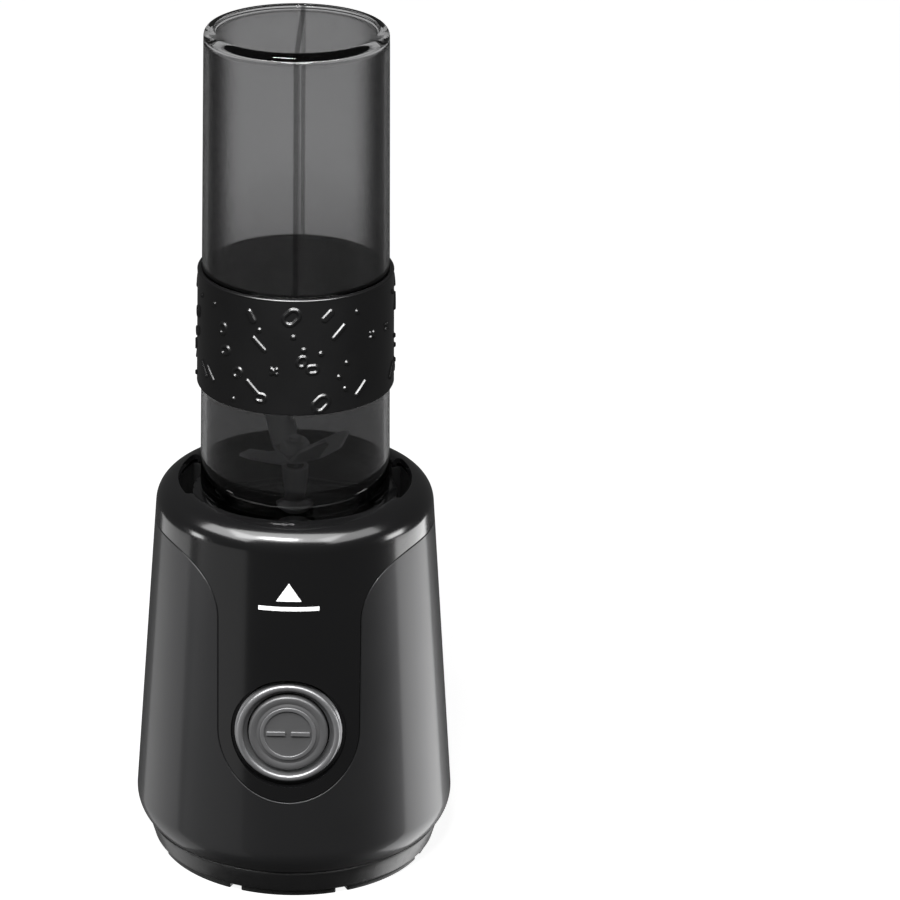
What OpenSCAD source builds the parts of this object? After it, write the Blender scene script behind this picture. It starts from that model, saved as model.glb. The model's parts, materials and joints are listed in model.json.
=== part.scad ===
// Personal countertop blender: a motor base with a drinking bottle standing in it
// upside down, closed by a screw-on blade unit.
// Millimetres. +Z up, origin on the axis at the table, the front faces -Y.

/* [Motor base] */
// Greatest radius of the base
base_r = 65.1; // [64:0.1:67]
// Height of the greatest radius
base_r_z = 23; // [22:0.5:24]
// Radius of the base where the shoulder begins
shoulder_r = 56; // [55.8:0.1:56.6]
// Height of the centre of the shoulder rounding
shoulder_z = 150.5; // [150:0.1:151]
// Radius of the shoulder rounding
shoulder_round = 10.5; // [10:0.1:11]
// Height of the joint between bottom cover and body
bottom_seam_z = 13; // [12.5:0.1:13.5]
// Thickness of the satin side cover
cover_t = 2.3; // [1.8:0.1:2.6]
// Width of the joint lines between covers
seam_gap = 0.4; // [0.2:0.1:0.6]

/* [Front panel] */
// Half width of the gloss front panel
panel_half_w = 28; // [27:0.5:29]
// Height of the centre of the panel's round lower end
panel_z = 74.5; // [74:0.5:76]
// Radius of the flare between panel and shoulder
flare_r = 24; // [22:0.5:26]
// Height of the seam round the sides and back
seam_z = 145; // [144:0.5:146]

/* [Push button] */
// Height of the button's centre
button_z = 75.6; // [74:0.1:77]
// Radius of the button cap
button_r = 15.8; // [15:0.1:16]
// Outer radius of the bezel ring
bezel_r = 20.75; // [20:0.05:21]
// Travel of the button
button_travel = 3; // [2:0.1:3]

/* [Bottle] */
// Overall height with the bottle in place
total_h = 348; // [330:1:360]
// Radius of the bottle at its closed end
bottle_top_r = 35.8; // [35.5:0.1:36.5]
// Radius of the bottle next to the blade unit
bottle_low_r = 38.1; // [37.8:0.1:38.4]
// Wall thickness of the bottle
bottle_wall = 2.2; // [1.8:0.1:2.4]
// Lower edge of the rubber sleeve
sleeve_z = 203; // [190:1:230]
// Height of the rubber sleeve
sleeve_h = 48; // [40:1:60]
// Thickness of the rubber sleeve
sleeve_t = 1.7; // [1.2:0.1:2]

/* [Blade unit] */
// Outer radius of the blade holder
holder_r = 41.2; // [41:0.1:41.6]
// Radius of the well that the holder stands in
well_r = 43; // [42.6:0.1:43.2]
// Radius that the blade tips sweep
blade_sweep = 25; // [22:0.5:27]

/* [Hidden] */
$fn = 96;

// Base outline
low_round = 14;
lean = atan((base_r - shoulder_r) / (shoulder_z - base_r_z));
low_r = wall_r(base_r_z + low_round * sin(lean)) - low_round * cos(lean);
crest_r = wall_r(shoulder_z + shoulder_round * sin(lean)) - shoulder_round * cos(lean);
crest_z = shoulder_z + shoulder_round;
shell_t = 4.8;
rim_under_z = 157;
foot_inner_r = 46;
foot_outer_r = 56.4;
foot_h = 2.5;
foot_count = 8;
foot_a = 40;
boss_pos_r = 52;
cord_z = 24;
arc_steps = 20;

// Drive levels
cup_floor_z = 126;
cup_floor_t = 3;
cup_wall_r = 49.5;
lug_r = 46.4;
slot_r = 47;
lug_z = 136;
lug_h = 4;
slot_floor_z = 135;
slot_h = 6.5;
entry_half_a = 26;
lug_a = 20;
lug_rest_a = -14;
lock_a = -50.5;
shaft_r = 3;
run_gap = 0.05;
dog_z = 133;
dog_h = 4.6;
dog_a = 28;
dog_count = 6;

// Interlock
pin_a = -44;
pin_pos_r = 45.2;
pin_r = 1.3;
pin_top_z = 137;
shelf_z = 106;

// Blade unit
holder_low_z = 131.5;
holder_top_z = 155;
holder_floor_z = 141;
holder_floor_t = 3;
holder_bore_r = 36.75;
neck_r = 36.4;
neck_top_z = 156.5;
gasket_t = 2;
mouth_z = holder_floor_z + holder_floor_t + gasket_t;
post_top_z = 166;
post_r = 5.4;
blade_shaft_r = 2.5;
bush_r = 3.5;
seal_top_z = 168.4;
blade_z = 169.8;
blade_t = 1.2;

// Motor
screw_pos = 25;
bracket_half = 29;
motor_low_z = 28;
stack_z = 56;
stack_h = 32;
motor_top_z = 104;
plate_t = 3;
rotor_r = 16.5;
stator_half = 30;

// Button frame: local +Z points out of the front wall
boss_r = 25.5;
recess_r = 23;
recess_z = -4.5;
cap_skirt_z = -7;
cap_bore_z = cap_skirt_z - button_travel - 0.5;
boss_z = -13;
board_z = -26;

gloss = "#121214";
satin = "#5a5b5e";
rubber = "#1b1b1c";
dark = "#2a2b2d";
steel = "#c9ccd0";
copper = "#b06a3a";
white = "#f2f2f2";
smoke = "#4a4b4e";

// Radius of the sloping wall at a height
function wall_r(z) = base_r + (shoulder_r - base_r) * (z - base_r_z) / (shoulder_z - base_r_z);

// Points along an arc in the radius-height plane
function arc(r, z, radius, a0, a1) =
    [for (i = [0:arc_steps]) let (a = a0 + (a1 - a0) * i / arc_steps) [r + radius * cos(a), z + radius * sin(a)]];

// Lower rounding and wall, set in from the outside by d, ending at a height
function side_line(d, top_z) = concat(
    arc(low_r, base_r_z, low_round - d, asin((bottom_seam_z - base_r_z) / (low_round - d)), lean),
    [[wall_r(top_z) - d / cos(lean), top_z]]);

// Radius of the bottle's outside at a height
function bottle_r(z) = bottle_low_r + (bottle_top_r - bottle_low_r) * (z - neck_top_z) / (total_h - neck_top_z);

module at_button() {
    translate([0, -wall_r(button_z), button_z])
        rotate([90 - lean, 0, 0])
            children();
}

module at_bosses() {
    for (a = [45:90:315])
        rotate([0, 0, a])
            translate([boss_pos_r, 0, 0])
                children();
}

module at_corners(distance) {
    for (x = [-1, 1], y = [-1, 1])
        translate([x * distance, y * distance, 0])
            children();
}

module tube(outer, inner, low, high) {
    translate([0, 0, low])
        difference() {
            cylinder(r = outer, h = high - low);
            translate([0, 0, -1])
                cylinder(r = inner, h = high - low + 2);
        }
}

// Wedge of a ring between two angles
module ring_sector(outer, inner, low, high, a0, a1) {
    intersection() {
        tube(outer, inner, low, high);
        translate([0, 0, low])
            linear_extrude(high - low)
                polygon([[0, 0], [2 * outer * cos(a0), 2 * outer * sin(a0)],
                    [2 * outer * cos(a1), 2 * outer * sin(a1)]]);
    }
}

module both_sides() {
    for (turn = [0, 180])
        rotate([0, 0, turn])
            children();
}

// Front panel outline, grown by g
module panel_outline(g) {
    translate([0, panel_z])
        circle(r = panel_half_w + g);
    translate([-panel_half_w - g, panel_z])
        square([2 * (panel_half_w + g), seam_z - panel_z]);
    difference() {
        translate([-panel_half_w - flare_r, seam_z - flare_r])
            square([2 * (panel_half_w + flare_r), flare_r]);
        for (side = [-1, 1])
            translate([side * (panel_half_w + flare_r), seam_z - flare_r])
                circle(r = flare_r - g);
    }
}

// All of the space that belongs to the gloss housing
module panel_space(g) {
    rotate([90, 0, 0])
        linear_extrude(2 * base_r)
            panel_outline(g);
    translate([0, 0, seam_z - g])
        cylinder(r = 2 * base_r, h = 60);
}

module housing_solid() {
    rotate_extrude()
        polygon(concat([[0, bottom_seam_z]],
            arc(low_r, base_r_z, low_round, asin((bottom_seam_z - base_r_z) / low_round), lean),
            arc(crest_r, shoulder_z, shoulder_round, lean, 90),
            [[well_r + 1.2, crest_z - 0.3], [well_r, crest_z - 1.6], [well_r, rim_under_z - 1],
            [0, rim_under_z - 1]]));
}

module housing_cavity() {
    rotate_extrude()
        polygon([[0, bottom_seam_z - 1], [54.8, bottom_seam_z - 1], [54.8, bottom_seam_z],
            [60.2, base_r_z], [wall_r(143) - shell_t, 143], [52.3, 150], [50.5, rim_under_z],
            [0, rim_under_z]]);
}

module main_housing() {
    color(gloss)
    difference() {
        union() {
            difference() {
                housing_solid();
                housing_cavity();
                difference() {
                    rotate_extrude()
                        polygon(concat([[90, seam_z + 1], [90, bottom_seam_z - 2],
                            [side_line(cover_t, seam_z)[0][0], bottom_seam_z - 2]],
                            side_line(cover_t, seam_z), [[wall_r(seam_z) - cover_t, seam_z + 1]]));
                    panel_space(0);
                }
            }
            intersection() {
                housing_solid();
                at_button()
                    translate([0, 0, boss_z])
                        cylinder(r = boss_r, h = 12);
            }
            at_button()
                for (side = [-1, 1])
                    translate([side * 9.5, 0, board_z + 1.6])
                        cylinder(r = 2, h = boss_z - board_z - 1);
            at_bosses()
                translate([0, 0, bottom_seam_z])
                    cylinder(r = 4, h = 30);
        }
        for (turn = [0, 180])
            rotate([0, 0, turn])
                ring_sector(slot_r, well_r - 1, rim_under_z - 2, crest_z + 1, -entry_half_a, entry_half_a);
        at_button() {
            translate([0, 0, recess_z])
                cylinder(r = recess_r, h = 20);
            translate([0, 0, cap_bore_z])
                cylinder(r = button_r + 0.35, h = 20);
            translate([0, 0, boss_z - 1])
                cylinder(r = 4.3, h = 20);
        }
        at_bosses()
            translate([0, 0, bottom_seam_z - 1])
                cylinder(r = 1.6, h = 21);
        translate([0, 0, cord_z])
            rotate([-90, 0, 0])
                cylinder(r = 7, h = 90);
    }
}

module side_cover() {
    color(satin)
    difference() {
        rotate_extrude()
            polygon(concat(side_line(0, seam_z - seam_gap),
                [for (i = [len(side_line(cover_t, seam_z)) - 1:-1:0]) side_line(cover_t, seam_z - seam_gap)[i]]));
        panel_space(seam_gap);
        translate([0, 0, cord_z])
            rotate([-90, 0, 0])
                cylinder(r = 7, h = 90);
    }
}

module bottom_cover() {
    color(dark)
    difference() {
        union() {
            rotate_extrude()
                polygon([[0, foot_h], [57, foot_h], [58.2, foot_h + 1.1], [60.6, bottom_seam_z - 1.2],
                    [60.2, bottom_seam_z - 0.4], [54.4, bottom_seam_z - 0.4], [54.4, bottom_seam_z + 2],
                    [52.6, bottom_seam_z + 2], [52.6, 5], [0, 5]]);
            at_bosses()
                translate([0, 0, 4])
                    cylinder(r = 4.4, h = bottom_seam_z - 5);
            at_corners(screw_pos)
                translate([0, 0, 4])
                    cylinder(r = 5, h = 21);
        }
        at_bosses() {
            cylinder(r = 1.9, h = 30);
            cylinder(r = 3.6, h = 6);
            translate([0, 0, bottom_seam_z - 1])
                cylinder(r = 4.6, h = 20);
        }
        at_corners(screw_pos)
            translate([0, 0, 12])
                cylinder(r = 1.6, h = 20);
        for (x = [-24:6:24])
            translate([x - 1.25, -14, 0])
                cube([2.5, 28, 10]);
    }
}

module rubber_feet() {
    color(rubber)
    for (i = [0:foot_count - 1])
        rotate([0, 0, i * 360 / foot_count])
            ring_sector(foot_outer_r, foot_inner_r, 0, foot_h, -foot_a / 2, foot_a / 2);
}

module housing_screws() {
    color(steel)
    at_bosses()
        difference() {
            union() {
                translate([0, 0, 4])
                    cylinder(r = 3.3, h = 2);
                translate([0, 0, 6])
                    cylinder(r = 1.6, h = 20);
            }
            translate([0, 0, 3.5])
                cylinder(r = 1.6, h = 1.6, $fn = 6);
        }
}

module button_bezel() {
    color("#7c7d80")
    at_button()
        rotate_extrude()
            polygon([[button_r + 0.6, recess_z], [bezel_r + 0.6, recess_z], [bezel_r + 0.6, recess_z + 0.9],
                [bezel_r, recess_z + 1.1], [bezel_r, -1.6], [bezel_r - 0.5, -0.9], [bezel_r - 1.4, -0.6],
                [bezel_r - 2.3, -0.9], [bezel_r - 2.8, -1.6], [bezel_r - 2.8, recess_z + 0.9],
                [button_r + 0.6, recess_z + 0.9]]);
}

module button_cap() {
    color("#4a4b4d")
    at_button() {
        rotate_extrude()
            polygon([[0, -2.6], [13.6, -2.6], [13.6, cap_skirt_z], [button_r, cap_skirt_z], [button_r, -2],
                [button_r - 0.4, -1.2], [button_r - 1.4, -0.8], [0, -0.8]]);
        translate([0, 0, boss_z - 0.8])
            cylinder(r = 4, h = -2.6 - boss_z + 0.8);
    }
}

module button_symbol() {
    color("#8a8b8e")
    at_button()
        translate([0, 0, -0.8])
            linear_extrude(0.5) {
                difference() {
                    circle(r = 11.2);
                    circle(r = 9.6);
                }
                difference() {
                    for (side = [-1, 1])
                        translate([side * 5 - 3.8, -0.9])
                            square([7.6, 1.8]);
                    difference() {
                        circle(r = 20);
                        circle(r = 9);
                    }
                }
            }
}

// Wire coil along Z
module coil(radius, wire, height, turns) {
    steps = 14;
    sides = 8;
    rings = turns * steps;
    points = [for (i = [0:rings], j = [0:sides - 1])
        let (a = 360 * i / steps, b = 360 * j / sides, r = radius + wire * cos(b))
            [r * cos(a), r * sin(a), wire + (height - 2 * wire) * i / rings + wire * sin(b)]];
    walls = [for (i = [0:rings - 1], j = [0:sides - 1])
        let (p = i * sides + j, q = i * sides + (j + 1) % sides)
            [p, p + sides, q + sides, q]];
    caps = [[for (j = [0:sides - 1]) j], [for (j = [sides - 1:-1:0]) rings * sides + j]];
    polyhedron(points, concat(walls, caps));
}

module button_spring() {
    color(steel)
    at_button()
        translate([0, 0, cap_bore_z])
            coil(6.6, 0.5, -2.6 - cap_bore_z, 4);
}

module power_switch() {
    color(dark)
    at_button() {
        translate([-6.4, -3.3, board_z + 1.6])
            cube([12.8, 6.6, 6.8]);
        translate([0, 0, board_z + 8])
            cylinder(r = 1.3, h = 1.1);
    }
}

module circuit_board() {
    color("#1f5a3a")
    at_button()
        translate([-14, -15, board_z])
            cube([28, 30, 1.6]);
}

module alignment_mark() {
    color(white)
    intersection() {
        rotate_extrude()
            polygon([[wall_r(126), 126], [wall_r(126) + 0.25, 126],
                [wall_r(143) + 0.25, 143], [wall_r(143), 143]]);
        rotate([90, 0, 0])
            linear_extrude(90) {
                polygon([[-5, 132], [5, 132], [0, 139.5]]);
                translate([-12, 128])
                    square([24, 1.6]);
            }
    }
}

module well_cup() {
    pin_x = pin_pos_r * cos(pin_a);
    pin_y = pin_pos_r * sin(pin_a);
    color(dark)
    difference() {
        union() {
            tube(cup_wall_r, well_r, cup_floor_z, rim_under_z - 0.05);
            tube(well_r + 1, 16, cup_floor_z, cup_floor_z + cup_floor_t);
            at_corners(screw_pos)
                translate([0, 0, motor_top_z + plate_t])
                    cylinder(r = 4, h = cup_floor_z - motor_top_z - plate_t + 1);
            rotate([0, 0, pin_a]) {
                translate([pin_pos_r - 3.8, -7.5, shelf_z])
                    cube([8, 15, 2]);
                for (side = [-1, 1])
                    translate([pin_pos_r - 3.8, side * 7 - 1, shelf_z])
                        cube([8, 2, cup_floor_z - shelf_z + 1]);
            }
        }
        both_sides() {
            ring_sector(slot_r, well_r - 1, slot_floor_z, rim_under_z + 1, -entry_half_a, entry_half_a);
            ring_sector(slot_r, well_r - 1, slot_floor_z, slot_floor_z + slot_h, lock_a, -entry_half_a + 1);
        }
        at_corners(screw_pos)
            translate([0, 0, motor_top_z + plate_t - 1])
                cylinder(r = 2, h = 13);
        translate([pin_x, pin_y, shelf_z - 1])
            cylinder(r = pin_r + 0.3, h = 40);
    }
}

module at_pin() {
    rotate([0, 0, pin_a])
        translate([pin_pos_r, 0, 0])
            children();
}

module interlock_pin() {
    color(white)
    at_pin() {
        rotate_extrude()
            polygon([[0, 105], [pin_r, 105], [pin_r, 119], [3.2, 119], [3.2, 121], [pin_r, 121],
                [pin_r, pin_top_z - 0.5], [pin_r - 0.5, pin_top_z], [0, pin_top_z]]);
    }
}

module interlock_spring() {
    color(steel)
    at_pin()
        translate([0, 0, shelf_z + 2])
            coil(2.4, 0.35, 119 - shelf_z - 2, 5);
}

module interlock_switch() {
    color(dark)
    rotate([0, 0, pin_a]) {
        translate([pin_pos_r - 3.3, -6.4, 92])
            cube([6.6, 12.8, 9.4]);
        translate([pin_pos_r, 0, 101])
            cylinder(r = 1.2, h = 1.4);
    }
}

module upper_motor_bracket() {
    color("#8f9296")
    difference() {
        union() {
            translate([-bracket_half, -bracket_half, motor_top_z])
                cube([2 * bracket_half, 2 * bracket_half, plate_t]);
            translate([0, 0, motor_top_z - 2])
                cylinder(r = 12, h = plate_t + 2);
            at_corners(screw_pos)
                translate([0, 0, stack_z + stack_h])
                    cylinder(r = 4, h = motor_top_z - stack_z - stack_h + 1);
        }
        translate([0, 0, motor_top_z - 3])
            cylinder(r = 8, h = plate_t + 4);
        at_corners(screw_pos)
            cylinder(r = 2.2, h = 150);
        for (a = [0:90:270])
            rotate([0, 0, a])
                translate([22, 0, 90])
                    cylinder(r = 6, h = 30);
    }
}

module lower_motor_bracket() {
    color("#8f9296")
    difference() {
        union() {
            translate([-bracket_half, -bracket_half, motor_low_z])
                cube([2 * bracket_half, 2 * bracket_half, plate_t]);
            translate([0, 0, motor_low_z - 6])
                cylinder(r = 12, h = plate_t + 6);
            at_corners(screw_pos)
                translate([0, 0, motor_low_z + 1])
                    cylinder(r = 4, h = stack_z - motor_low_z - 1);
        }
        translate([0, 0, motor_low_z - 7])
            cylinder(r = 8, h = 20);
        at_corners(screw_pos)
            cylinder(r = 2.2, h = 150);
        for (a = [0:90:270])
            rotate([0, 0, a])
                translate([22, 0, 20])
                    cylinder(r = 6, h = 30);
    }
}

module motor_dampers() {
    color(rubber)
    at_corners(screw_pos)
        tube(5, 2.2, motor_low_z - 3, motor_low_z);
}

module motor_screws() {
    color(steel)
    at_corners(screw_pos) {
        translate([0, 0, motor_low_z - 15])
            cylinder(r = 1.6, h = 12);
        translate([0, 0, motor_low_z - 3])
            cylinder(r = 2, h = motor_top_z + plate_t + 12 - motor_low_z + 3);
    }
}

module stator_core() {
    color("#6c6f73")
    difference() {
        translate([0, 0, stack_z])
            linear_extrude(stack_h)
                difference() {
                    square([2 * stator_half, 2 * stator_half], center = true);
                    difference() {
                        circle(r = 24.5);
                        for (side = [-1, 1])
                            translate([side * 22 - 6, -8])
                                square([12, 16]);
                    }
                    circle(r = rotor_r + 0.5);
                }
        at_corners(screw_pos)
            cylinder(r = 2.2, h = 150);
    }
}

module field_coils() {
    color(copper)
    for (side = [-1, 1])
        translate([side * 20.2, 0, stack_z - 5])
            difference() {
                intersection() {
                    translate([-1.8, -12, 0])
                        cube([3.6, 24, stack_h + 10]);
                    translate([-side * 20.2, 0, 0])
                        difference() {
                            cylinder(r = 24.3, h = 80);
                            translate([0, 0, -1])
                                cylinder(r = rotor_r + 0.9, h = 90);
                        }
                }
                translate([-3, -8.2, 4.8])
                    cube([6, 16.4, stack_h + 0.4]);
            }
}

module brush_holders() {
    color("#caa75a")
    for (side = [-1, 1])
        difference() {
            translate([-4, side * 20 - 7.5, motor_low_z + plate_t])
                cube([8, 15, 16]);
            translate([-2.5, side * 20 - 8.5, motor_low_z + plate_t + 9])
                cube([5, 17, 5]);
        }
}

module carbon_brushes() {
    color("#222222")
    for (side = [-1, 1])
        translate([-2.4, side * 17.2 - 6.7, motor_low_z + plate_t + 9.1])
            cube([4.8, 13.4, 4.8]);
}

module upper_bearing() {
    color("#a8834a")
    tube(8, shaft_r + run_gap, motor_top_z - 2, motor_top_z + plate_t);
}

module lower_bearing() {
    color("#a8834a")
    tube(8, shaft_r + run_gap, motor_low_z - 6, motor_low_z + plate_t);
}

module rotor_core() {
    color("#777a7e")
    difference() {
        tube(rotor_r, shaft_r, stack_z, stack_z + stack_h);
        for (a = [0:30:330])
            rotate([0, 0, a])
                translate([13, -1, stack_z - 1])
                    cube([6, 2, stack_h + 2]);
    }
}

module rotor_windings() {
    color(copper) {
        tube(15, shaft_r, stack_z - 6, stack_z);
        tube(15, shaft_r, stack_z + stack_h, stack_z + stack_h + 5);
    }
}

module commutator() {
    color(copper)
    difference() {
        tube(10, shaft_r, 35, 48);
        for (a = [0:15:345])
            rotate([0, 0, a])
                translate([9.4, -0.2, 34])
                    cube([2, 0.4, 15]);
    }
}

module motor_shaft() {
    color(steel)
    translate([0, 0, 20])
        cylinder(r = shaft_r, h = 112);
}

module cooling_fan() {
    fan_z = 95;
    color(dark)
    union() {
        tube(9, shaft_r, fan_z, fan_z + 6);
        tube(30, 8.9, fan_z, fan_z + 1.2);
        for (a = [0:40:320])
            rotate([0, 0, a])
                translate([8, -0.6, fan_z + 0.5])
                    cube([21, 1.2, 5.5]);
    }
}

// Ring of driving dogs
module dogs(low, high, first_a) {
    for (i = [0:dog_count - 1])
        rotate([0, 0, first_a + i * 360 / dog_count])
            ring_sector(10.5, 5.5, low, high, -dog_a / 2, dog_a / 2);
}

module drive_coupling() {
    color(rubber)
    union() {
        difference() {
            translate([0, 0, 118])
                cylinder(r = 11, h = dog_z - 118);
            translate([0, 0, 117])
                cylinder(r = shaft_r, h = 15);
        }
        dogs(dog_z - 0.5, dog_z + dog_h, 0);
    }
}

module cord_gland() {
    color(rubber)
    translate([0, 0, cord_z])
        rotate([-90, 0, 0])
            difference() {
                union() {
                    translate([0, 0, 53])
                        cylinder(r = 7, h = 11.8);
                    translate([0, 0, 53])
                        cylinder(r = 8.6, h = 2.4);
                }
                translate([0, 0, 50])
                    cylinder(r = 3.5, h = 30);
            }
}

module blade_holder() {
    color(gloss)
    difference() {
        union() {
            difference() {
                translate([0, 0, holder_low_z])
                    cylinder(r = holder_r, h = holder_top_z - holder_low_z);
                translate([0, 0, holder_floor_z + holder_floor_t])
                    cylinder(r = holder_bore_r, h = 40);
                translate([0, 0, holder_low_z - 1])
                    cylinder(r = holder_r - 2.4, h = holder_floor_z - holder_low_z + 1);
            }
            both_sides()
                ring_sector(lug_r, holder_r - 1, lug_z, lug_z + lug_h,
                    lug_rest_a - lug_a / 2, lug_rest_a + lug_a / 2);
        }
        translate([0, 0, holder_floor_z - 1])
            cylinder(r = bush_r + run_gap, h = 60);
        for (i = [0:35])
            rotate([0, 0, i * 10])
                translate([holder_r + 0.7, 0, holder_top_z - 9])
                    cylinder(r = 1.2, h = 20);
    }
}

module spindle_post() {
    bore_r = bush_r + run_gap;
    foot_z = holder_floor_z + holder_floor_t + 0.02;
    color(steel)
    rotate_extrude()
        polygon([[bore_r, foot_z], [8, foot_z], [8, foot_z + 1.4], [post_r - 1, foot_z + 4],
            [post_r - 1.2, foot_z + 7], [post_r, post_top_z - 1], [post_r, post_top_z], [bore_r, post_top_z]]);
}

module spindle_bush() {
    color("#a8834a")
    tube(bush_r, blade_shaft_r + run_gap, holder_floor_z + 0.2, post_top_z);
}

module shaft_seal() {
    color(rubber)
    tube(bush_r, blade_shaft_r + run_gap, post_top_z, seal_top_z);
}

module blade_shaft() {
    color(steel)
    translate([0, 0, dog_z + 0.3])
        cylinder(r = blade_shaft_r, h = blade_z + 8.5 - dog_z);
}

module blade_coupling() {
    color(rubber)
    difference() {
        union() {
            translate([0, 0, dog_z + dog_h + 0.3])
                cylinder(r = 11, h = 2.8);
            dogs(dog_z + 0.3, dog_z + dog_h + 0.5, 180 / dog_count);
            translate([0, 0, dog_z + 0.6])
                cylinder(r = 4.8, h = dog_h);
        }
        translate([0, 0, dog_z - 1])
            cylinder(r = blade_shaft_r, h = 20);
    }
}

// One pair of blades: a flat middle with two bent, tapered wings
module blade_pair(rise) {
    root = 9;
    wing = (blade_sweep - root) / cos(rise);
    difference() {
        union() {
            translate([-root - 0.2, -6, 0])
                cube([2 * root + 0.4, 12, blade_t]);
            both_sides()
                translate([root, 0, 0])
                    rotate([0, -rise, 0])
                        linear_extrude(blade_t)
                            polygon([[0, -6], [wing * 0.55, -5.4], [wing, 2.5], [wing * 0.8, 5.2], [0, 6]]);
        }
        translate([0, 0, -1])
            cylinder(r = blade_shaft_r, h = 4);
    }
}

module lower_blades() {
    color(steel)
    union() {
        translate([0, 0, blade_z])
            rotate([0, 0, 25])
                blade_pair(18);
        tube(post_r, blade_shaft_r, seal_top_z + 0.2, blade_z + 0.1);
    }
}

module upper_blades() {
    color(steel)
    translate([0, 0, blade_z + blade_t + 0.05])
        rotate([0, 0, -65])
            blade_pair(42);
}

module blade_nut() {
    color(steel)
    difference() {
        translate([0, 0, blade_z + 2 * blade_t + 0.1])
            intersection() {
                cylinder(r = 6.2, h = 5, $fn = 6);
                cylinder(r1 = 8, r2 = 4.6, h = 5);
            }
        cylinder(r = blade_shaft_r, h = 200);
    }
}

module bottle_gasket() {
    color("#3a3a3c")
    tube(neck_r, 33.6, mouth_z - gasket_t + 0.02, mouth_z - 0.02);
}

module bottle() {
    inner_top_z = total_h - 3.6;
    color(smoke, 0.6)
    rotate_extrude()
        polygon(concat(
            [[33.9, mouth_z], [neck_r, mouth_z], [neck_r, neck_top_z], [bottle_r(neck_top_z), neck_top_z + 0.8]],
            arc(bottle_top_r - 3, total_h - 3, 3, 0, 90),
            [[32, total_h - 0.3], [31.4, total_h - 1.2], [0, total_h - 1.2], [0, inner_top_z]],
            arc(bottle_top_r - bottle_wall - 3, inner_top_z - 3, 3, 90, 0),
            [[bottle_r(neck_top_z) - bottle_wall - 1.9, neck_top_z + 3]]));
}

module bottle_sleeve() {
    low = sleeve_z;
    high = sleeve_z + sleeve_h;
    color(rubber)
    rotate_extrude()
        polygon([[bottle_r(low) + 0.02, low], [bottle_r(low) + sleeve_t - 0.4, low],
            [bottle_r(low) + sleeve_t, low + 0.6], [bottle_r(high) + sleeve_t, high - 0.8],
            [bottle_r(high) + sleeve_t - 0.6, high], [bottle_r(high) + 0.02, high]]);
}

main_housing();
side_cover();
bottom_cover();
rubber_feet();
housing_screws();
button_bezel();
button_cap();
button_symbol();
button_spring();
power_switch();
circuit_board();
alignment_mark();
well_cup();
interlock_pin();
interlock_spring();
interlock_switch();
upper_motor_bracket();
lower_motor_bracket();
motor_dampers();
motor_screws();
stator_core();
field_coils();
brush_holders();
carbon_brushes();
upper_bearing();
lower_bearing();
rotor_core();
rotor_windings();
commutator();
motor_shaft();
cooling_fan();
drive_coupling();
cord_gland();
blade_holder();
spindle_post();
spindle_bush();
shaft_seal();
blade_shaft();
blade_coupling();
lower_blades();
upper_blades();
blade_nut();
bottle_gasket();
bottle();
bottle_sleeve();
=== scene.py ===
"""Looks of the personal countertop blender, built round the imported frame. Metres, +Z up, front towards -Y."""

import json
import math

import bmesh
import bpy
import numpy as np
from mathutils import Matrix, Vector, geometry


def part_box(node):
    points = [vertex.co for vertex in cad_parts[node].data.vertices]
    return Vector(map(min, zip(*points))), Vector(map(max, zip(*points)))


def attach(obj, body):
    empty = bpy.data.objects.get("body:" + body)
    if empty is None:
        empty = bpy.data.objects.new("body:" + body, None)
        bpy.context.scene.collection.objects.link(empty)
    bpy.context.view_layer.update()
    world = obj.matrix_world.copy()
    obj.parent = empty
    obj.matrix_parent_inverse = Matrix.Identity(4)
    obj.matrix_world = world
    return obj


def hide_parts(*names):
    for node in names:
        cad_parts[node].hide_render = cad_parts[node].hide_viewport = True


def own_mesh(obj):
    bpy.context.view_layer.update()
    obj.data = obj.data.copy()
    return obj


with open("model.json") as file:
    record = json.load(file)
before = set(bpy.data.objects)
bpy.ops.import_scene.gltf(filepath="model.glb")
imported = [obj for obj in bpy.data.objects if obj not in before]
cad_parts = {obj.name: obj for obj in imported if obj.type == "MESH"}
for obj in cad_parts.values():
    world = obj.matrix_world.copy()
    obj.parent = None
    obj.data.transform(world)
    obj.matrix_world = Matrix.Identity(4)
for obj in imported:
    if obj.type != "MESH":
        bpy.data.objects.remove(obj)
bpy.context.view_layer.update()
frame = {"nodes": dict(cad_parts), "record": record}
nodes = frame["nodes"]
MM = 0.001

# ---------------------------------------------------------------- sizes, from the frame where it has them
cover_low, cover_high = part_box("side_cover")
bottle_low, bottle_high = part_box("bottle")
sleeve_low, sleeve_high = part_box("bottle_sleeve")

BASE_R = cover_high.x + 0.03 * MM
BASE_R_Z = 23 * MM
SHOULDER_R = 56 * MM
SHOULDER_Z = 150.5 * MM
SHOULDER_ROUND = 10.5 * MM
LOW_ROUND = 14 * MM
LOW_SEAM_Z = cover_low.z
SEAM_GAP = 0.4 * MM
SEAM_Z = cover_high.z + SEAM_GAP
WELL_R = 43 * MM
RIM_UNDER_Z = 157 * MM
NOTCH_R = 47 * MM
NOTCH_HALF_A = math.radians(26)
WELL_LIP_ROUND = 2.4 * MM
PANEL_HALF_W = 28 * MM
PANEL_Z = 74.5 * MM
FLARE_R = 24 * MM
SKIN_T = 2.2 * MM
BUTTON_Z = 75.6 * MM
RECESS_R = 23 * MM
RECESS_FLOOR = -4.5 * MM
CAP_R = 15.8 * MM
BEZEL_R = 20.75 * MM
CORD_Z = 24 * MM
CORD_HOLE_R = 7 * MM
NECK_TOP_Z = 156.5 * MM
NECK_R = 36.4 * MM
BOTTLE_LOW_R = 38.1 * MM
BOTTLE_TOP_R = 35.8 * MM
BOTTLE_WALL = 2.2 * MM
SLEEVE_T = 1.7 * MM
LEAN = math.atan((BASE_R - SHOULDER_R) / (SHOULDER_Z - BASE_R_Z))
MOULD_LINE_X = 1.3 * MM


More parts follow.
